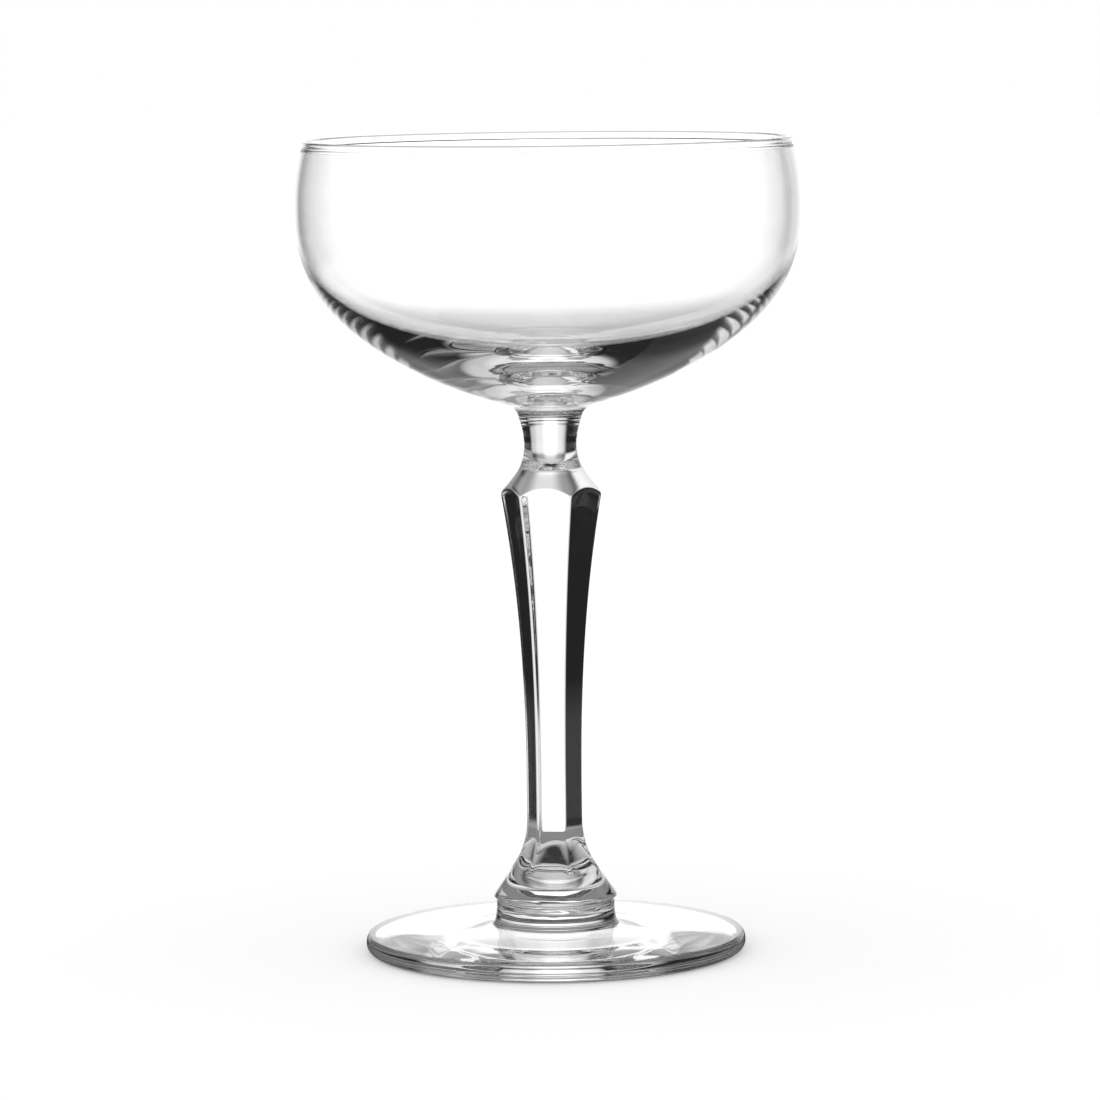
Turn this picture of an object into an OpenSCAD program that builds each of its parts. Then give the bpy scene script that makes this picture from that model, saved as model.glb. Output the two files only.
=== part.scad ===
// Coupe glass on a six-sided pressed stem.
// Three pieces of glass, joined hot and face to face: foot, stem and bowl.
// The origin is the centre of the resting face, +Z runs up the axis, all lengths are in mm.

/* [Bowl] */
// Widest width of the bowl
bowl_w = 95; // [88:0.5:102]
// Width across the rim
rim_w = 91.8; // [88:0.2:94.5]
// Height of the bowl, from its weld to the top of the rim
bowl_h = 52.4; // [48:0.2:58]
// Height of the widest line above the weld
belly_h = 40; // [36:0.5:42]
// Height above the weld at which the lower curve would reach the axis
tip_h = 0.7; // [0.4:0.1:1.4]
// Thickness of the rim bead
rim_t = 1.1; // [0.9:0.05:1.5]
// Thickness of the wall at the widest line
wall_t = 0.75; // [0.6:0.05:1]
// Thickness of the glass between the weld and the inside of the bowl
base_t = 7.5; // [6.5:0.1:8.5]
// Width at which the round under the bowl runs out
root_w = 17; // [15:0.5:22]

/* [Stem] */
// Height of the stem, from weld to weld
stem_h = 91.3; // [80:0.5:110]
// Width of the weld between bowl and stem
top_weld_w = 11.9; // [11.4:0.1:13]
// Narrowest width of the round neck
neck_w = 10.04; // [9:0.02:11]
// Height of the narrowest part of the neck below the top weld
neck_drop = 5; // [4:0.2:7]
// Length of the straight part of the neck
neck_run = 0.5; // [0.2:0.1:1.5]
// Radius of the hollow curve between neck and shoulder
shoulder_r = 8.5; // [7:0.1:10]
// Width of the knop across its corners
knop_w = 19.4; // [17:0.2:21]
// Height of the knop's corners below the top weld
knop_drop = 14.3; // [13.5:0.1:18]
// Width of the slim part across its corners
waist_w = 10.76; // [9.6:0.02:12]
// Height of the lower end of the long taper above the foot weld
waist_h = 20; // [17:0.5:24]
// Radius of the hollow curve above the foot
flare_r = 16; // [13:0.5:19]
// Height of the top of that curve above the foot weld
flare_h = 15; // [14:0.5:16.5]
// Width of the weld between stem and foot
foot_weld_w = 21; // [20:0.2:22]
// Width of the lip that the flare ends in
lip_w = 23.3; // [22.6:0.1:26]
// Height of that lip
lip_h = 1.1; // [0.6:0.1:1.6]
// Lean of the round flare's side from the axis, in degrees
flare_lean = 35; // [32:1:38]

/* [Foot] */
// Width of the foot
foot_w = 72; // [64:0.5:80]
// Height of the foot at its weld
foot_h = 10; // [9:0.2:12]
// Thickness of the foot's rounded edge
edge_t = 3.5; // [3:0.1:4.5]
// Reach of the edge's rounding on top, measured in from the foot's widest line
edge_over = 0.9; // [0.7:0.1:2]
// Reach of the edge's rounding underneath
edge_under = 1.9; // [1.2:0.1:3]
// Lean of the foot's flat plate from level, in degrees
plate_lean = 4.1; // [3:0.1:5]
// Width of the boss under the stem
boss_w = 22.4; // [22:0.1:24]
// Height of the rounding at the top of the boss
boss_round = 0.8; // [0.4:0.1:1.2]
// Width at which the boss runs out on the plate
boss_out_w = 24.6; // [24:0.2:28]
// Width of the shallow round hollow underneath
hollow_w = 40; // [36:0.5:44]
// Depth of that hollow at the axis
hollow_h = 2; // [1.2:0.1:2.6]

/* [Hidden] */
$fn = 144;

// Powers that shape the curves
side_power = 1.29;
under_power = 2.51;
inner_side_power = 1.64;
inner_under_power = 2.66;
taper_power = 2.35;

// Steps along the curves
under_steps = 30;
wall_steps = 6;
root_steps = 6;
taper_steps = 14;
arc_steps = 10;
boss_steps = 8;
round_steps = 5;
edge_steps = 5;

// Facets of the stem
facets = 6;
facet_angle = 360 / facets;
flat_share = cos(facet_angle / 2);

// Overrun of the tools that only cut
overrun = 2;

// Heights of the two welds
foot_top = foot_h;
stem_top = foot_top + stem_h;

// Radii of the bowl
bowl_r = bowl_w / 2;
rim_r = rim_w / 2;
top_weld_r = top_weld_w / 2;
under_h = belly_h - tip_h;
inner_r = bowl_r - wall_t;
inner_h = belly_h - base_t;
bead_r = rim_t / 2;
bead_z = bowl_h - bead_r;
bead_bulge_share = 0.35;
wall_top_r = rim_r - bead_bulge_share * (rim_t - wall_t);
root_lean_share = 0.04;

// Radii and heights of the stem, above the foot weld
knop_r = knop_w / 2;
knop_z = stem_h - knop_drop;
waist_r = waist_w / 2;
neck_r = neck_w / 2;
neck_z = stem_h - neck_drop;
shoulder_lean = 38.7;
foot_weld_r = foot_weld_w / 2;
lip_wide_r = lip_w / 2;
lip_round_share = 0.45;
lip_round = lip_round_share * lip_h;
lip_draw_share = 0.5;
lip_r = lip_wide_r - lip_draw_share * (lip_h - lip_round);

// A curve that is flat at the axis and upright at its full radius
function full_z(r, radius, height, side, under) =
    -height * pow(1 - pow(r / radius, side), 1 / under);
function full_point(turn, radius, height, side, under) =
    [radius * pow(cos(turn), 2 / side), -height * pow(sin(turn), 2 / under)];
function full_turn(r, radius, side) = acos(pow(r / radius, side / 2));

// A bend between two points, drawn towards a third
function bend(from, towards, to, share) =
    pow(1 - share, 2) * from + 2 * share * (1 - share) * towards + share * share * to;

// A radius that leans in as the square of the height above the widest line
function leaned_r(z, wide_r, top_r, top_z) =
    wide_r - (wide_r - top_r) * pow((z - belly_h) / (top_z - belly_h), 2);

// Radius of a hollow arc of a given size, a height above or below its start
function arc_r(start_r, size, away) = start_r + size - sqrt(size * size - away * away);

// Distance from the axis to the corners of the faceted stem, a height above the foot weld
function corner_r(z) =
    z < flare_h ? arc_r(waist_r, flare_r, flare_h - z)
    : z < waist_h ? waist_r
    : waist_r + (knop_r - waist_r) * pow((z - waist_h) / (knop_z - waist_h), taper_power);

// Outer line of the bowl, from the weld up to the bead
function bowl_outer() =
    let (
        root_r = root_w / 2,
        turn = full_turn(root_r, bowl_r, side_power),
        pull_r = top_weld_r + root_lean_share * top_weld_r,
        pull = [pull_r, belly_h + full_z(pull_r, bowl_r, under_h, side_power, under_power)],
        root = [root_r, belly_h + full_z(root_r, bowl_r, under_h, side_power, under_power)]
    )
    concat(
        [for (i = [0:root_steps - 1]) bend([top_weld_r, 0], pull, root, i / root_steps)],
        [for (i = [0:under_steps])
            [0, belly_h] + full_point(turn * (1 - i / under_steps), bowl_r, under_h, side_power, under_power)],
        [for (i = [1:wall_steps])
            let (z = belly_h + (bead_z - belly_h) * i / wall_steps)
            [leaned_r(z, bowl_r, wall_top_r, bead_z), z]]
    );

// Inner line of the bowl, from the bead down to the axis
function bowl_inner() = concat(
    [for (i = [wall_steps:-1:1])
        let (z = belly_h + (bead_z - belly_h) * i / wall_steps)
        [leaned_r(z, inner_r, wall_top_r - wall_t, bead_z), z]],
    [for (i = [0:under_steps])
        [0, belly_h] + full_point(90 * i / under_steps, inner_r, inner_h, inner_side_power, inner_under_power)]
);

// Half of the stem's flat-to-flat outline, a height above the foot weld
function flat_side() = concat(
    [[flat_share * corner_r(flare_h - flare_r * sin(flare_lean)), 0]],
    [for (i = [arc_steps:-1:0])
        let (z = flare_h - flare_r * sin(flare_lean * i / arc_steps))
        [flat_share * corner_r(z), z]],
    [for (i = [0:taper_steps])
        let (z = waist_h + (knop_z - waist_h) * i / taper_steps)
        [flat_share * corner_r(z), z]],
    [[flat_share * corner_r(neck_z), neck_z], [flat_share * corner_r(neck_z), stem_h + overrun]]
);

// Line of the round neck and shoulder, from the top weld down past the knop's corners
function shoulder_side() =
    let (
        arc_top = neck_z - neck_run,
        arc_low = arc_top - shoulder_r * sin(shoulder_lean),
        arc_low_r = arc_r(neck_r, shoulder_r, arc_top - arc_low),
        wide_r = knop_r + overrun,
        rise = neck_drop * neck_drop,
        spread = (top_weld_r - neck_r)
    )
    concat(
        [for (i = [0:arc_steps - 1])
            let (z = stem_h - neck_drop * i / arc_steps)
            [neck_r + spread * pow(z - neck_z, 2) / rise, z]],
        [[neck_r, neck_z]],
        [for (i = [0:arc_steps])
            let (away = shoulder_r * sin(shoulder_lean * i / arc_steps))
            [arc_r(neck_r, shoulder_r, away), arc_top - away]],
        [[wide_r, arc_low - (wide_r - arc_low_r) / tan(shoulder_lean)]]
    );

// Height of the foot's flat plate at a radius
function plate_z(r) = edge_t + (foot_w / 2 - edge_over - r) * tan(plate_lean);

// Line of the foot, from the weld over the boss, out to the edge and round it to the floor
function foot_side() =
    let (
        middle = edge_t / 2,
        over_r = foot_w / 2 - edge_over,
        under_r = foot_w / 2 - edge_under,
        boss_r = boss_w / 2,
        boss_out_r = boss_out_w / 2,
        weld = [foot_weld_r, foot_h],
        brim = [boss_r, foot_h],
        top = [boss_r, foot_h - boss_round],
        corner = [boss_r, plate_z(boss_r)],
        out = [boss_out_r, plate_z(boss_out_r)]
    )
    concat(
        [for (i = [0:round_steps - 1]) bend(weld, brim, top, i / round_steps)],
        [for (i = [0:boss_steps]) bend(top, corner, out, i / boss_steps)],
        [for (i = [0:edge_steps - 1])
            let (turn = 90 * (1 - i / edge_steps))
            [over_r + edge_over * cos(turn), middle + middle * sin(turn)]],
        [for (i = [0:edge_steps])
            let (turn = -90 * i / edge_steps)
            [under_r + edge_under * cos(turn), middle + middle * sin(turn)]]
    );

// Blown bowl: thin wall, rounded rim bead and thick base
module bowl() {
    color([0.86, 0.9, 0.92, 0.35])
        translate([0, 0, stem_top])
            rotate_extrude() {
                polygon(concat([[0, 0]], bowl_outer(), bowl_inner()));
                translate([wall_top_r - wall_t / 2, bead_z]) circle(r = bead_r);
            }
}

// Six flats, made by three slabs whose two sides follow the same line
module six_flats() {
    side = flat_side();
    other = [for (i = [len(side) - 1:-1:0]) [-side[i][0], side[i][1]]];
    reach = 2 * (knop_r + overrun);
    intersection_for(turn = [0:facet_angle:180 - facet_angle])
        rotate([90, 0, turn + facet_angle / 2])
            linear_extrude(height = 2 * reach, center = true) polygon(concat(side, other));
}

// Round neck and shoulder that cut the flats, with clear room for them below
module shoulder_round() {
    side = shoulder_side();
    last = side[len(side) - 1];
    rotate_extrude() polygon(concat([[0, stem_h]], side, [[last[0], 0], [0, 0]]));
}

// Round flare that the six flats run out on, with a lip that rounds in to the weld
module flare_round() {
    tip = lip_h + lip_r / tan(flare_lean);
    lip = [for (i = [0:round_steps])
        bend([foot_weld_r, 0], [lip_wide_r, 0], [lip_wide_r, lip_round], i / round_steps)];
    rotate_extrude() polygon(concat([[0, 0]], lip, [[lip_r, lip_h], [0, tip]]));
}

// Pressed stem: round neck, faceted knop, long tapering flats and round flare
module stem() {
    color([0.82, 0.87, 0.9, 0.35])
        translate([0, 0, foot_top])
            union() {
                intersection() {
                    six_flats();
                    shoulder_round();
                }
                flare_round();
            }
}

// Pressed foot: flat plate with a boss under the stem, rounded edge and a hollow underneath
module foot() {
    hollow_r = hollow_w / 2;
    dome_r = (hollow_r * hollow_r + hollow_h * hollow_h) / (2 * hollow_h);
    color([0.86, 0.9, 0.92, 0.35])
        rotate_extrude()
            difference() {
                polygon(concat([[0, 0], [0, foot_h]], foot_side()));
                translate([0, hollow_h - dome_r]) circle(r = dome_r);
            }
}

foot();
stem();
bowl();
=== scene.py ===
# Coupe glass: the fine glass pieces, their finishes, the floor, the light and the camera.
import math

import bmesh
import bpy
from mathutils import Matrix, Vector, noise


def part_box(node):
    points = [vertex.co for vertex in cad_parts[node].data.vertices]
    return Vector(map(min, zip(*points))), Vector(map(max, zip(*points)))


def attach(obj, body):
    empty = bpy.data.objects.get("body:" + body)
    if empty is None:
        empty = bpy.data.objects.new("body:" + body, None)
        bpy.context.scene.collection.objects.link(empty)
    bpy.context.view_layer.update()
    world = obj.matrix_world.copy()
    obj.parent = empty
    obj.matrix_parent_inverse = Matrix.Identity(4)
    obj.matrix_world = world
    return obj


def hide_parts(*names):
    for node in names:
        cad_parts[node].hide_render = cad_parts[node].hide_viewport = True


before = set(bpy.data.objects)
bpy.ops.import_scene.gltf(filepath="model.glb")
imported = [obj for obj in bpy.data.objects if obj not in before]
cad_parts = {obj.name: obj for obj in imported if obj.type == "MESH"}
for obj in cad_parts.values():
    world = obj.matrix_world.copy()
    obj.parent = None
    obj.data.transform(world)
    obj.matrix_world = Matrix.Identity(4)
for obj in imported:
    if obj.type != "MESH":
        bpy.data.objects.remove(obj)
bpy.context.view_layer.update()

MM = 0.001

# Places taken from the frame: the two welds, the top of the stem and the rim
bowl_low, bowl_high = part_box("bowl")
stem_low, stem_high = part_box("stem")
foot_low, foot_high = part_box("foot")
TOP_WELD_Z = bowl_low[2]
FOOT_WELD_Z = foot_high[2]
STEM_TOP_Z = stem_high[2]
RIM_Z = bowl_high[2]

# Bowl
BOWL_R = 47.5 * MM
RIM_R = 45.9 * MM
BELLY_Z = TOP_WELD_Z + 40 * MM
TIP_Z = TOP_WELD_Z + 0.7 * MM
INSIDE_Z = TOP_WELD_Z + 7.5 * MM
WALL = 0.75 * MM
BEAD = 0.95 * MM
BEAD_R = BEAD / 2
BEAD_DEEP = 1.35 * MM
BEAD_Z = RIM_Z - BEAD_R
BEAD_SET_IN = 0.35
WALL_TOP_R = RIM_R - BEAD_SET_IN * (BEAD - WALL)
ROOT_R = 8.5 * MM
ROOT_PULL = 1.04
TOP_WELD_R = 5.95 * MM
SIDE_POWER = 1.29
UNDER_POWER = 2.51
INNER_SIDE_POWER = 1.64
INNER_UNDER_POWER = 2.66

# Rings in the bowl's thick bottom: deep near the axis, and faint further out
RIPPLE_WIDTH = 2.3 * MM
RIPPLE_TURN = 0.5
RIPPLE_DEEP = 0.06 * MM
RIPPLE_DEEP_R = 20 * MM
RIPPLE_FAINT = 0.004 * MM
RIPPLE_FAINT_R = 44 * MM
RIPPLE_FADE = 10 * MM
RIPPLE_START_R = 2 * MM

# Stem
NECK_R = 5.02 * MM
NECK_Z = STEM_TOP_Z - 5 * MM
NECK_RUN = 0.5 * MM
SHOULDER_R = 8.5 * MM
SHOULDER_LEAN = math.radians(38.7)
KNOP_R = 9.7 * MM
KNOP_Z = STEM_TOP_Z - 14.3 * MM
WAIST_R = 5.38 * MM
WAIST_Z = FOOT_WELD_Z + 20 * MM
TAPER_POWER = 2.35
FLARE_R = 16 * MM
FLARE_Z = FOOT_WELD_Z + 15 * MM
FLARE_LEAN = math.radians(35)
FOOT_WELD_R = 10.5 * MM
LIP_H = 1.1 * MM
LIP_ROUND = 0.45 * LIP_H
LIP_WIDE_R = 11.65 * MM
LIP_R = LIP_WIDE_R - 0.5 * (LIP_H - LIP_ROUND)
FACETS = 6
FACET_ANGLE = 2 * math.pi / FACETS
FLAT_SHARE = math.cos(FACET_ANGLE / 2)
CORNER_SOFT = 0.52 * MM
CREASE_SOFT = 0.5 * MM

# Foot
FOOT_R = 36 * MM
EDGE_T = 3.5 * MM
EDGE_OVER = 0.9 * MM
EDGE_UNDER = 1.9 * MM
OVER_R = FOOT_R - EDGE_OVER
PLATE_LEAN = math.radians(4.1)
BOSS_R = 11.2 * MM
BOSS_ROUND = 0.8 * MM
BOSS_OUT_R = 12.3 * MM
HOLLOW_R = 20 * MM
HOLLOW_H = 2 * MM
HOLLOW_SOFT = 0.2 * MM
LEVEL_RUN = 3 * MM

# Unevenness of the pressed seam between stem and foot, and of the foot's top
SEAM_CRINKLE = 0.1 * MM
SEAM_WIDE = 2.4 * MM
SEAM_HIGH = 0.45 * MM
SEAM_START = 0.3 * MM
SEAM_REACH = 2.4 * MM
PLATE_WAVE = 0.035 * MM
PLATE_WIDE = 7.0 * MM
PLATE_SLICE = 0.5
PLATE_FADE = 3 * MM

# Steps of the meshes
QUARTER_STEPS = 56
ROOT_STEPS = 16
CURVE_STEPS = 120
WALL_STEPS = 28
BEAD_STEPS = 20
ROUND_STEPS = 12
HOLLOW_STEPS = 56
LEVEL_STEPS = 6
EDGE_STEPS = 16
PLATE_STEPS = 20
BOSS_STEPS = 30
FACET_STEPS = 32
CORNER_CROWD = 0.7
SHARP_ANGLE = math.radians(32)

# How near a point lies to what it belongs to
SAME_PLACE = 1e-6
IN_WELD = 1e-5
ON_INSIDE = 0.1 * MM
ON_PLATE = 0.01 * MM
ON_AXIS = 0.1 * MM


def steps(count, first=0, last=None):
    """Even shares from 0 to 1, with the first and last index that are wanted."""
    last = count if last is None else last
    return [i / count for i in range(first, last + 1)]


def bend(a, b, c, s):
    """A point on the curve that leaves a towards b and runs into c."""
    return tuple((1 - s) ** 2 * p + 2 * s * (1 - s) * q + s * s * t for p, q, t in zip(a, b, c))


def soft_least(a, b, soft):
    """The smaller of two sizes, with the corner between them rounded."""
    gap = max(0.0, soft - abs(a - b)) / soft
    return min(a, b) - gap * gap * soft / 4


def soft_most(a, b, soft):
    """The larger of two sizes, with the corner between them rounded."""
    return -soft_least(-a, -b, soft)


def mesh_object(name, bm):
    """Finish a bmesh: close it, turn its faces out, shade it smooth and keep the sharp edges."""
    bmesh.ops.remove_doubles(bm, verts=bm.verts, dist=SAME_PLACE)
    bmesh.ops.recalc_face_normals(bm, faces=bm.faces)
    for face in bm.faces:
        face.smooth = True
    for edge in bm.edges:
        if len(edge.link_faces) == 2 and edge.calc_face_angle() > SHARP_ANGLE:
            edge.smooth = False
    mesh = bpy.data.meshes.new(name)
    bm.to_mesh(mesh)
    bm.free()
    piece = bpy.data.objects.new(name, mesh)
    bpy.context.scene.collection.objects.link(piece)
    return piece


def spun(line):
    """Spin a line of (radius, height) points a quarter turn, and mirror the quarter twice."""
    bm = bmesh.new()
    verts = [bm.verts.new((r, 0, z)) for r, z in line]
    edges = [bm.edges.new(pair) for pair in zip(verts, verts[1:])]
    bmesh.ops.spin(bm, geom=verts + edges, cent=(0, 0, 0), axis=(0, 0, 1), angle=math.pi / 2,
                   steps=QUARTER_STEPS, use_merge=False, use_duplicate=False)
    for side in ("X", "Y"):
        bmesh.ops.mirror(bm, geom=bm.verts[:] + bm.edges[:] + bm.faces[:], matrix=Matrix(),
                         merge_dist=SAME_PLACE, axis=side)
    return bm


def mark_weld(bm, z, reach):
    """Give the flat faces inside a weld the second material."""
    bm.faces.ensure_lookup_table()
    for face in bm.faces:
        if all(abs(v.co.z - z) < SAME_PLACE and v.co.to_2d().length < reach + IN_WELD for v in face.verts):
            face.material_index = 1


def full_curve(turn, radius, height, side, under):
    """A point of the bowl's lower curve: turn 0 at the widest line, a quarter turn on the axis."""
    return radius * math.cos(turn) ** (2 / side), -height * math.sin(turn) ** (2 / under)


def full_z(r, radius, height, side, under):
    """Depth of the bowl's lower curve at a radius."""
    return -height * (1 - (r / radius) ** side) ** (1 / under)


def leaned_r(z, wide_r, top_r):
    """Radius of the upper wall, which leans in with the square of the height."""
    return wide_r - (wide_r - top_r) * ((z - BELLY_Z) / (BEAD_Z - BELLY_Z)) ** 2


def bead_half(depth):
    """Half of the wall's thickness near the rim, a depth below the top of the bead."""
    if depth < BEAD_R:
        return math.sqrt(BEAD_R ** 2 - (BEAD_R - depth) ** 2)
    fade = min(1.0, (depth - BEAD_R) / (BEAD_DEEP - BEAD_R))
    return WALL / 2 + (BEAD_R - WALL / 2) * 0.5 * (1 + math.cos(math.pi * fade))


def bowl_outer():
    """Outer line of the bowl, from the weld up to just under the bead."""
    turn = math.acos((ROOT_R / BOWL_R) ** (SIDE_POWER / 2))
    depth = BELLY_Z - TIP_Z
    pull_r = ROOT_PULL * TOP_WELD_R
    pull = (pull_r, BELLY_Z + full_z(pull_r, BOWL_R, depth, SIDE_POWER, UNDER_POWER))
    root = (ROOT_R, BELLY_Z + full_z(ROOT_R, BOWL_R, depth, SIDE_POWER, UNDER_POWER))
    line = []
    for s in steps(ROOT_STEPS, last=ROOT_STEPS - 1):
        line.append(bend((TOP_WELD_R, TOP_WELD_Z), pull, root, s))
    for s in steps(CURVE_STEPS):
        r, z = full_curve(turn * (1 - s), BOWL_R, depth, SIDE_POWER, UNDER_POWER)
        line.append((r, BELLY_Z + z))
    for s in steps(WALL_STEPS, first=1):
        z = BELLY_Z + (RIM_Z - BEAD_DEEP - BELLY_Z) * s
        line.append((leaned_r(z, BOWL_R, WALL_TOP_R), z))
    return line


def rim_line():
    """The rim bead, from the outer wall over the top to the inner wall."""
    middle_r = WALL_TOP_R - WALL / 2
    side = []
    for s in steps(BEAD_STEPS, first=1):
        depth = BEAD_DEEP - (BEAD_DEEP - BEAD_R) * s
        side.append((bead_half(depth), RIM_Z - depth))
    for s in steps(ROUND_STEPS, first=1):
        turn = s * math.pi / 2
        side.append((BEAD_R * math.cos(turn), BEAD_Z + BEAD_R * math.sin(turn)))
    outer = [(middle_r + h, z) for h, z in side]
    inner = [(middle_r - h, z) for h, z in reversed(side[:-1])]
    return outer + inner


def bowl_inner():
    """Inner line of the bowl, from under the bead down to the axis."""
    inner_r = BOWL_R - WALL
    depth = BELLY_Z - INSIDE_Z
    line = []
    for s in steps(WALL_STEPS, first=1):
        z = RIM_Z - BEAD_DEEP - (RIM_Z - BEAD_DEEP - BELLY_Z) * s
        line.append((leaned_r(z, inner_r, WALL_TOP_R - WALL), z))
    for s in steps(CURVE_STEPS, first=1):
        r, z = full_curve(s * math.pi / 2, inner_r, depth, INNER_SIDE_POWER, INNER_UNDER_POWER)
        line.append((r, BELLY_Z + z))
    line[-1] = (0.0, INSIDE_Z)
    return line


def inside_r(z):
    """Radius of the bowl's inside at a height below its widest line."""
    share = (BELLY_Z - z) / (BELLY_Z - INSIDE_Z)
    return (BOWL_R - WALL) * max(0.0, 1 - share ** INNER_UNDER_POWER) ** (1 / INNER_SIDE_POWER)


def ripple(x, y):
    """Height of the rings in the thick bottom of the bowl, at a point of its inside."""
    r = math.hypot(x, y)
    around = RIPPLE_TURN / max(r, ON_AXIS)
    wave = noise.noise(Vector((r / RIPPLE_WIDTH, x * around, y * around)))
    deep = min(1.0, max(0.0, (RIPPLE_DEEP_R - r) / RIPPLE_FADE))
    faint = min(1.0, max(0.0, (RIPPLE_FAINT_R - r) / RIPPLE_FADE))
    middle = min(1.0, r / RIPPLE_START_R)
    return wave * middle * (RIPPLE_DEEP * deep + RIPPLE_FAINT * faint)


def ripple_inside(bm):
    """Raise and lower the points of the bowl's inside, below its widest line."""
    for vert in bm.verts:
        x, y, z = vert.co
        if INSIDE_Z - SAME_PLACE < z < BELLY_Z and abs(math.hypot(x, y) - inside_r(z)) < ON_INSIDE:
            vert.co.z += ripple(x, y)


def make_bowl():
    """The blown bowl: one closed shell, with the inside's rings."""
    bm = spun([(0.0, TOP_WELD_Z)] + bowl_outer() + rim_line() + bowl_inner())
    ripple_inside(bm)
    mark_weld(bm, TOP_WELD_Z, TOP_WELD_R)
    return mesh_object("bowl_glass_blown", bm)


def plate_z(r):
    """Height of the foot's sloping upper face."""
    return EDGE_T + (OVER_R - r) * math.tan(PLATE_LEAN)


def foot_under_z(r):
    """Height of the foot's underside: level, with a round hollow in the middle."""
    dome_r = (HOLLOW_R ** 2 + HOLLOW_H ** 2) / (2 * HOLLOW_H)
    return soft_most(HOLLOW_H - dome_r + math.sqrt(dome_r ** 2 - r * r), 0.0, HOLLOW_SOFT)


def foot_line():
    """Line of the foot, from the axis underneath, round the edge and up to the weld."""
    line = [(HOLLOW_R * s, foot_under_z(HOLLOW_R * s)) for s in steps(HOLLOW_STEPS)]
    for s in steps(LEVEL_STEPS, first=1):
        line.append((HOLLOW_R + LEVEL_RUN * s, foot_under_z(HOLLOW_R + LEVEL_RUN * s)))
    middle = EDGE_T / 2
    for s in steps(EDGE_STEPS):
        turn = (s - 1) * math.pi / 2
        line.append((FOOT_R - EDGE_UNDER + EDGE_UNDER * math.cos(turn), middle + middle * math.sin(turn)))
    for s in steps(ROUND_STEPS, first=1):
        turn = s * math.pi / 2
        line.append((OVER_R + EDGE_OVER * math.cos(turn), middle + middle * math.sin(turn)))
    for s in steps(PLATE_STEPS, first=1):
        r = OVER_R - (OVER_R - BOSS_OUT_R) * s
        line.append((r, plate_z(r)))
    out = (BOSS_OUT_R, plate_z(BOSS_OUT_R))
    top = (BOSS_R, FOOT_WELD_Z - BOSS_ROUND)
    for s in steps(BOSS_STEPS, first=1):
        line.append(bend(out, (BOSS_R, plate_z(BOSS_R)), top, s))
    for s in steps(ROUND_STEPS, first=1):
        line.append(bend(top, (BOSS_R, FOOT_WELD_Z), (FOOT_WELD_R, FOOT_WELD_Z), s))
    line.append((0.0, FOOT_WELD_Z))
    return line


def seam_crinkle(x, y, z):
    """How far the pressed seam between stem and foot is drawn in at a point near it."""
    above = abs(z - FOOT_WELD_Z)
    near = min(1.0, above / SEAM_START) * max(0.0, 1 - above / SEAM_REACH)
    wave = noise.noise(Vector((x / SEAM_WIDE, y / SEAM_WIDE, z / SEAM_HIGH)))
    return SEAM_CRINKLE * near * (0.5 + 0.5 * wave)


def wave_foot(bm):
    """Give the foot's top and its seam the soft unevenness of pressed glass."""
    for vert in bm.verts:
        x, y, z = vert.co
        r = math.hypot(x, y)
        if BOSS_R - BOSS_ROUND < r < BOSS_OUT_R and z > FOOT_WELD_Z - SEAM_REACH:
            drawn = 1 - seam_crinkle(x, y, z) / r
            vert.co.x *= drawn
            vert.co.y *= drawn
        if BOSS_R < r < OVER_R and abs(z - plate_z(r)) < ON_PLATE:
            inside = min(1.0, (r - BOSS_R) / PLATE_FADE, (OVER_R - r) / PLATE_FADE)
            wave = noise.noise(Vector((x / PLATE_WIDE, y / PLATE_WIDE, PLATE_SLICE)))
            vert.co.z += PLATE_WAVE * inside * wave


def make_foot():
    """The pressed foot, with its seam and its uneven top."""
    bm = spun(foot_line())
    wave_foot(bm)
    mark_weld(bm, FOOT_WELD_Z, FOOT_WELD_R)
    return mesh_object("foot_glass_pressed", bm)


def arc_r(start_r, size, away):
    """Radius of a hollow arc, a height away from where it starts."""
    return start_r + size - math.sqrt(size * size - away * away)


def corner_r(z):
    """Distance from the axis to the corners of the faceted stem."""
    if z < FLARE_Z:
        return arc_r(WAIST_R, FLARE_R, min(FLARE_Z - z, FLARE_R * math.sin(FLARE_LEAN)))
    if z < WAIST_Z:
        return WAIST_R
    return WAIST_R + (KNOP_R - WAIST_R) * ((z - WAIST_Z) / (KNOP_Z - WAIST_Z)) ** TAPER_POWER


def shoulder_line_r(z):
    """Radius of the round neck and shoulder, which cut the facets from above."""
    if z >= NECK_Z:
        return NECK_R + (TOP_WELD_R - NECK_R) * ((z - NECK_Z) / (STEM_TOP_Z - NECK_Z)) ** 2
    away = NECK_Z - NECK_RUN - z
    if away <= 0:
        return NECK_R
    reach = SHOULDER_R * math.sin(SHOULDER_LEAN)
    if away <= reach:
        return arc_r(NECK_R, SHOULDER_R, away)
    return arc_r(NECK_R, SHOULDER_R, reach) + (away - reach) * math.tan(SHOULDER_LEAN)


def flare_line_r(z):
    """Radius of the round flare that the facets run out on."""
    above = max(0.0, z - FOOT_WELD_Z)
    if above < LIP_ROUND:
        return LIP_WIDE_R - (LIP_WIDE_R - FOOT_WELD_R) * (1 - math.sqrt(above / LIP_ROUND)) ** 2
    if above < LIP_H:
        return LIP_WIDE_R + (LIP_R - LIP_WIDE_R) * (above - LIP_ROUND) / (LIP_H - LIP_ROUND)
    return LIP_R - (above - LIP_H) * math.tan(FLARE_LEAN)


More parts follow.
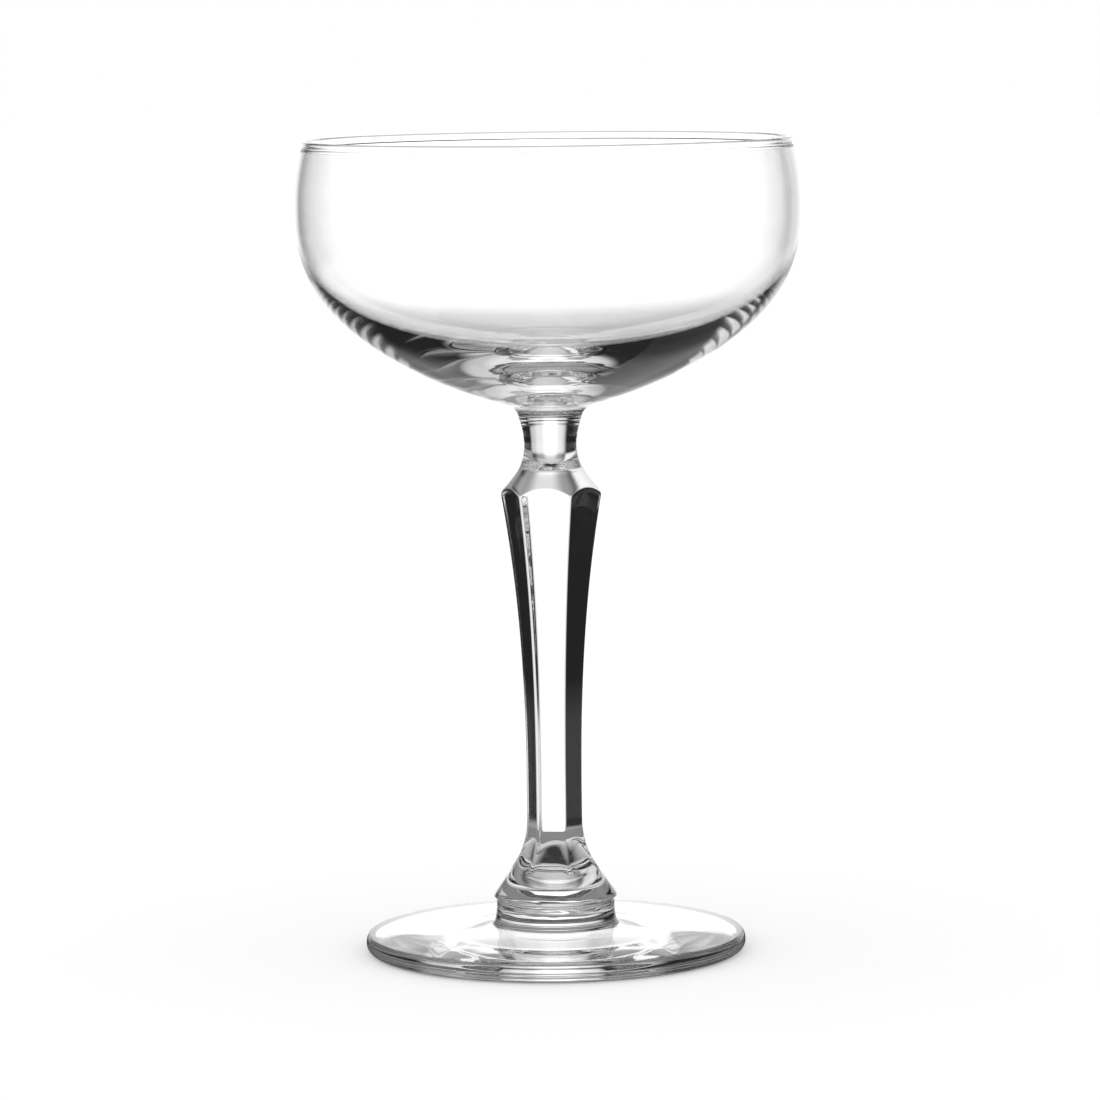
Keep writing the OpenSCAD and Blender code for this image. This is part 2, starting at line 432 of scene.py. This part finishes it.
def stem_r(turn, z):
    """Distance from the axis to the stem's surface."""
    flat = FLAT_SHARE * corner_r(z)
    local = turn % FACET_ANGLE
    near = flat / math.cos(local - FACET_ANGLE / 2)
    other = local + FACET_ANGLE / 2 if local < FACET_ANGLE / 2 else 3 * FACET_ANGLE / 2 - local
    faceted = soft_least(near, flat / math.cos(other), CORNER_SOFT)
    r = soft_least(faceted, shoulder_line_r(z), CREASE_SOFT)
    return soft_most(r, flare_line_r(z), CREASE_SOFT)


def ring_turns():
    """Directions of a ring's points, closer together near the facets' corners."""
    turns = []
    for facet in range(FACETS):
        for s in steps(FACET_STEPS, last=FACET_STEPS - 1):
            crowd = s - CORNER_CROWD * math.sin(2 * math.pi * s) / (2 * math.pi)
            turns.append((facet + crowd) * FACET_ANGLE)
    return turns


def stem_heights():
    """Heights of the stem's rings, closest where it bends most."""
    seam_top = FOOT_WELD_Z + 0.4 * MM
    flare_top = FOOT_WELD_Z + 12 * MM
    knop_bottom = KNOP_Z - 3 * MM
    knop_top = KNOP_Z + 3 * MM
    spans = [
        (FOOT_WELD_Z, seam_top, 0.04 * MM),
        (seam_top, flare_top, 0.2 * MM),
        (flare_top, knop_bottom, 1.2 * MM),
        (knop_bottom, knop_top, 0.15 * MM),
        (knop_top, STEM_TOP_Z, 0.25 * MM),
    ]
    heights = []
    for low, high, spacing in spans:
        count = round((high - low) / spacing)
        heights += [low + (high - low) * s for s in steps(count, last=count - 1)]
    return heights + [STEM_TOP_Z]


def ring_edges(ring):
    """The edges that close a ring of points."""
    return [a.link_edges[[e.other_vert(a) for e in a.link_edges].index(b)]
            for a, b in zip(ring, ring[1:] + ring[:1])]


def order_like(new, ring):
    """Order freshly drawn points like the ring they were drawn from."""
    by_place = {tuple(round(c, 9) for c in v.co): v for v in new}
    return [by_place[tuple(round(c, 9) for c in v.co)] for v in ring]


def make_stem():
    """Draw a ring up the stem, step by step, and shape each ring as it is drawn."""
    turns = ring_turns()
    bm = bmesh.new()
    low = bmesh.ops.create_circle(bm, cap_ends=False, segments=len(turns), radius=FOOT_WELD_R)["verts"]
    ring = sorted(low, key=lambda v: math.atan2(v.co.y, v.co.x) % (2 * math.pi))
    for i, z in enumerate(stem_heights()):
        if i:
            made = bmesh.ops.extrude_edge_only(bm, edges=ring_edges(ring))["geom"]
            ring = order_like([v for v in made if isinstance(v, bmesh.types.BMVert)], ring)
        for vert, turn in zip(ring, turns):
            r = stem_r(turn, z)
            r -= seam_crinkle(r * math.cos(turn), r * math.sin(turn), z)
            vert.co = (r * math.cos(turn), r * math.sin(turn), z)
        if i == 0:
            bmesh.ops.contextual_create(bm, geom=ring_edges(ring))
    bmesh.ops.contextual_create(bm, geom=ring_edges(ring))
    for face in bm.faces:
        if len(face.verts) > 4:
            face.material_index = 1
    return mesh_object("stem_glass_pressed", bm)


class Nodes:
    """A node tree with short ways to add and link its nodes."""

    def __init__(self, owner):
        owner.use_nodes = True
        self.tree = owner.node_tree
        self.tree.nodes.clear()

    def add(self, kind, **values):
        node = self.tree.nodes.new(kind)
        for name, value in values.items():
            setattr(node, name, value)
        return node

    def link(self, value, socket):
        if isinstance(value, (int, float)):
            socket.default_value = value
        else:
            self.tree.links.new(value, socket)

    def math(self, operation, first, second=0.0):
        node = self.add("ShaderNodeMath", operation=operation)
        self.link(first, node.inputs[0])
        self.link(second, node.inputs[1])
        return node.outputs[0]

    def ramp(self, value, low, high):
        """0 below low, 1 above high, smooth between."""
        node = self.add("ShaderNodeMapRange", interpolation_type="SMOOTHSTEP")
        self.link(value, node.inputs["Value"])
        node.inputs["From Min"].default_value = low
        node.inputs["From Max"].default_value = high
        return node.outputs["Result"]

    def between(self, value, low, high, soft):
        """1 between low and high, 0 outside, with soft edges."""
        return self.math("MULTIPLY", self.ramp(value, low - soft, low + soft),
                         self.math("SUBTRACT", 1.0, self.ramp(value, high - soft, high + soft)))

    def mix(self, share, first, second):
        """first where the share is 0, second where it is 1."""
        return self.math("ADD", self.math("MULTIPLY", first, self.math("SUBTRACT", 1.0, share)),
                         self.math("MULTIPLY", second, share))


GLASS_TINT = (0.996, 0.998, 0.997, 1)
GLASS_IOR = 1.5


def glass(name):
    """Clear, colourless glass."""
    material = bpy.data.materials.new(name)
    material.use_nodes = True
    shader = material.node_tree.nodes["Principled BSDF"]
    shader.inputs["Base Color"].default_value = GLASS_TINT
    shader.inputs["Roughness"].default_value = 0.0
    shader.inputs["IOR"].default_value = GLASS_IOR
    shader.inputs["Transmission Weight"].default_value = 1.0
    return material


def weld_inside(name):
    """The inside of a weld, where glass has run into glass and nothing shows."""
    material = bpy.data.materials.new(name)
    n = Nodes(material)
    clear = n.add("ShaderNodeBsdfTransparent")
    n.link(clear.outputs["BSDF"], n.add("ShaderNodeOutputMaterial").inputs["Surface"])
    return material


def dress(piece, node, finish, weld):
    """Give a piece its glass, hide the part it takes the place of, and hang it under the root."""
    piece.data.materials.append(finish)
    piece.data.materials.append(weld)
    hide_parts(node)
    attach(piece, "root")


weld = weld_inside("weld_inside")
clear_glass = glass("clear_glass")
dress(make_bowl(), "bowl", clear_glass, weld)
dress(make_stem(), "stem", clear_glass, weld)
dress(make_foot(), "foot", clear_glass, weld)

# Camera at the photograph's place
CAMERA_AWAY = 979.6 * MM
CAMERA_UP = 182.3 * MM
CAMERA_TURN = math.radians(7.5)
CAMERA_PITCH = math.radians(6.18)
CAMERA_ROLL = math.radians(-0.66)
CAMERA_ANGLE = math.radians(12.02)
AIM_SIDE = math.radians(0.018)
CLIP_NEAR = 0.01
CLIP_FAR = 100


def make_camera():
    """The camera, turned about the glass, then tilted down and rolled."""
    data = bpy.data.cameras.new("camera")
    data.sensor_fit = "HORIZONTAL"
    data.angle = CAMERA_ANGLE
    data.clip_start = CLIP_NEAR
    data.clip_end = CLIP_FAR
    camera = bpy.data.objects.new("camera", data)
    bpy.context.scene.collection.objects.link(camera)
    x = CAMERA_AWAY * math.sin(CAMERA_TURN)
    y = -CAMERA_AWAY * math.cos(CAMERA_TURN)
    place = Matrix.Translation((x, y, CAMERA_UP))
    yaw = Matrix.Rotation(CAMERA_TURN + AIM_SIDE, 4, "Z")
    tilt = Matrix.Rotation(math.pi / 2 - CAMERA_PITCH, 4, "X")
    roll = Matrix.Rotation(CAMERA_ROLL, 4, "Z")
    camera.matrix_world = place @ yaw @ tilt @ roll
    bpy.context.scene.camera = camera


make_camera()

FLOOR_R = 6.0
FLOOR_CORNERS = 96
FLOOR_GAP = 0.05 * MM
FLOOR_GREY = 0.8
FLOOR_GLOW = 0.25
# Painted shade round the foot, as a dim glow that only the glass sees: where the ring lies, and its light
# when mirrored and when seen through
SHADE_RING_LOW_R = 34 * MM
SHADE_RING_HIGH_R = 75 * MM
SHADE_RING_MIRRORED = 0.05
SHADE_RING_THROUGH = 0.25


def make_floor():
    """A plain pale floor. Glass sees painted shade on it, a ring of dim glow round the foot, and the studio
    elsewhere.
    """
    bm = bmesh.new()
    bmesh.ops.create_circle(bm, cap_ends=True, segments=FLOOR_CORNERS, radius=FLOOR_R)
    bmesh.ops.translate(bm, vec=(0, 0, -FLOOR_GAP), verts=bm.verts)
    floor = mesh_object("floor", bm)
    material = bpy.data.materials.new("pale_floor")
    n = Nodes(material)
    path = n.add("ShaderNodeLightPath")
    lit = n.add("ShaderNodeBsdfDiffuse")
    lit.inputs["Color"].default_value = (FLOOR_GREY, FLOOR_GREY, FLOOR_GREY, 1)
    glow = n.add("ShaderNodeEmission")
    n.link(n.math("MULTIPLY", path.outputs["Is Camera Ray"], FLOOR_GLOW), glow.inputs["Strength"])
    both = n.add("ShaderNodeAddShader")
    n.link(lit.outputs[0], both.inputs[0])
    n.link(glow.outputs[0], both.inputs[1])

    # Painted shade: for glass rays, a ring of dim glow round the foot, and clear floor elsewhere
    length = n.add("ShaderNodeVectorMath", operation="LENGTH")
    n.link(n.add("ShaderNodeNewGeometry").outputs["Position"], length.inputs[0])
    r = length.outputs["Value"]
    in_shade_ring = n.math("MULTIPLY", n.math("LESS_THAN", r, SHADE_RING_HIGH_R), n.math("GREATER_THAN", r, SHADE_RING_LOW_R))
    ring = n.add("ShaderNodeEmission")
    painted_shade_light = n.mix(path.outputs["Is Transmission Ray"], SHADE_RING_MIRRORED, SHADE_RING_THROUGH)
    n.link(painted_shade_light, ring.inputs["Strength"])
    painted_shade_near_foot = n.add("ShaderNodeMixShader")
    n.link(in_shade_ring, painted_shade_near_foot.inputs[0])
    n.link(n.add("ShaderNodeBsdfTransparent").outputs[0], painted_shade_near_foot.inputs[1])
    n.link(ring.outputs[0], painted_shade_near_foot.inputs[2])

    glass_ray = n.math("MAXIMUM", path.outputs["Is Glossy Ray"], path.outputs["Is Transmission Ray"])
    seen = n.add("ShaderNodeMixShader")
    n.link(glass_ray, seen.inputs[0])
    n.link(both.outputs[0], seen.inputs[1])
    n.link(painted_shade_near_foot.outputs[0], seen.inputs[2])
    n.link(seen.outputs[0], n.add("ShaderNodeOutputMaterial").inputs["Surface"])
    floor.data.materials.append(material)


make_floor()

DARK = 0.012
DIFFUSE_LIGHT = 1.0
CAMERA_LIGHT = 1.0
WINDOW_LIGHT = 1.4
QUARTER_TURN = 90.0
HALF_TURN = 180.0
FULL_TURN = 360.0

# Light by height, as (degrees above the level, light). As the photograph sees the glass, a window
# stands behind it: its middle, the parts beside that, its edges, what stands right of it, and the
# dark sides
MIDDLE_LIGHT = [(-60, 0.5), (-31, 0.5), (-25, 0.5), (-19, 0.65), (-14, 1), (15, 1), (20, 0.08),
                (28, 0.08), (34, 0.3)]
BESIDE_LIGHT = [(-60, 0.4), (-31, 0.45), (-25, 0.25), (-19, 0.25), (-12, 0.65), (14, 0.65), (19, 0.05),
                (28, 0.05), (34, 0.3)]
EDGE_LIGHT = [(-31, 0.15), (-25, 0.05), (-19, 0.05), (-12, 0.45), (14, 0.45), (19, DARK), (28, DARK),
              (34, 0.25)]
BEHIND_RIGHT_LIGHT = [(-60, 0.1), (-31, 0.2), (-19, 0.3), (-14, 0.2), (-10, DARK), (24, DARK), (30, 0.3)]
SIDE_LIGHT = [(0, DARK)]

# What is seen through the glass elsewhere: a white table all round, and more windows
TABLE_LIGHT = [(-75, 0.03), (-60, 0.25), (-20, 0.25), (-12, DARK)]
BEHIND_LEFT_TABLE = [(-75, 0.03), (-60, 0.72), (-21, 0.72), (-15, DARK)]
BEHIND_RIGHT_TABLE = [(-75, 0.03), (-60, 0.25), (-14, 0.25), (-10, DARK), (24, DARK), (30, 0.3)]
LEFT_WINDOW = [(-75, 0.03), (-60, 0.3), (-13, 0.7), (3, 0.7), (6, DARK)]
FRONT_RIGHT_WINDOW = [(-75, 0.03), (-60, 0.3), (-35, 0.5), (-25, 0.72), (-3, 0.72), (2, DARK)]
DIM_FRONT = [(-75, 0.03), (-60, 0.3), (-25, 0.5), (-3, 0.5), (2, DARK)]

# Where each light stands, as (from, to, softness of its ends, light), in degrees round the glass:
# 0 is +Y, straight behind it, 90 is -X and -90 is +X. A later row covers an earlier one.
WINDOWS = [
    (-26, 31, 4.0, EDGE_LIGHT),
    (-15, 26, 5.0, BESIDE_LIGHT),
    (-1, 16, 5.0, MIDDLE_LIGHT),
]
MIRRORED = [(-60, -26, 6.0, BEHIND_RIGHT_LIGHT)] + WINDOWS
SEEN_THROUGH = [
    (108, 190, 6.0, DIM_FRONT),
    (-190, -64, 6.0, DIM_FRONT),
    (31, 78, 6.0, BEHIND_LEFT_TABLE),
    (78, 102, 4.0, LEFT_WINDOW),
    (-165, -105, 10.0, FRONT_RIGHT_WINDOW),
    (-60, -26, 6.0, BEHIND_RIGHT_TABLE),
] + WINDOWS


def light_by_height(n, elevation, stops):
    """The light at a height, read off a list of (degrees, light)."""
    share = n.math("DIVIDE", n.math("ADD", elevation, QUARTER_TURN), HALF_TURN)
    ramp = n.add("ShaderNodeValToRGB")
    elements = ramp.color_ramp.elements
    elements.remove(elements[1])
    for i, (height, light) in enumerate(stops):
        place = (height + QUARTER_TURN) / HALF_TURN
        element = elements.new(place) if i else elements[0]
        element.position = place
        element.color = (light, light, light, 1)
    n.link(share, ramp.inputs["Fac"])
    return ramp.outputs["Color"]


def light_around(n, azimuth, elevation, sides, windows):
    """The light in every direction: one list by height for the sides, and others between two bearings."""
    turned = n.math("MODULO", n.math("ADD", azimuth, FULL_TURN + HALF_TURN), FULL_TURN)
    pattern = light_by_height(n, elevation, sides)
    for start, end, soft, stops in windows:
        here = n.between(turned, HALF_TURN + start, HALF_TURN + end, soft)
        pattern = n.mix(here, pattern, light_by_height(n, elevation, stops))
    return n.math("MULTIPLY", pattern, WINDOW_LIGHT)


def make_world():
    """White for the camera, soft white on the floor, and for the glass two patterns of light:
    one that it mirrors, and one that is seen through it."""
    world = bpy.data.worlds.new("studio")
    bpy.context.scene.world = world
    n = Nodes(world)
    direction = n.add("ShaderNodeSeparateXYZ")
    n.link(n.add("ShaderNodeTexCoord").outputs["Generated"], direction.inputs[0])
    x, y, z = direction.outputs
    azimuth = n.math("DEGREES", n.math("ARCTAN2", n.math("MULTIPLY", x, -1.0), y))
    elevation = n.math("DEGREES", n.math("ARCSINE", z))
    mirrored = light_around(n, azimuth, elevation, SIDE_LIGHT, MIRRORED)
    through = light_around(n, azimuth, elevation, TABLE_LIGHT, SEEN_THROUGH)

    path = n.add("ShaderNodeLightPath")
    level = n.mix(path.outputs["Is Glossy Ray"], DIFFUSE_LIGHT, mirrored)
    level = n.mix(path.outputs["Is Transmission Ray"], level, through)
    level = n.mix(path.outputs["Is Camera Ray"], level, CAMERA_LIGHT)
    back_light = n.add("ShaderNodeBackground")
    back_light.inputs["Color"].default_value = (1, 1, 1, 1)
    n.link(level, back_light.inputs["Strength"])
    n.link(back_light.outputs[0], n.add("ShaderNodeOutputWorld").inputs["Surface"])


make_world()

# Enough bounces for light to cross every wall of the glass
GLASS_BOUNCES = 40
CLEAR_BOUNCES = 32

view = bpy.context.scene.view_settings
view.view_transform = "Standard"
cycles = bpy.context.scene.cycles
cycles.max_bounces = GLASS_BOUNCES
cycles.glossy_bounces = GLASS_BOUNCES
cycles.transmission_bounces = GLASS_BOUNCES
cycles.transparent_max_bounces = CLEAR_BOUNCES
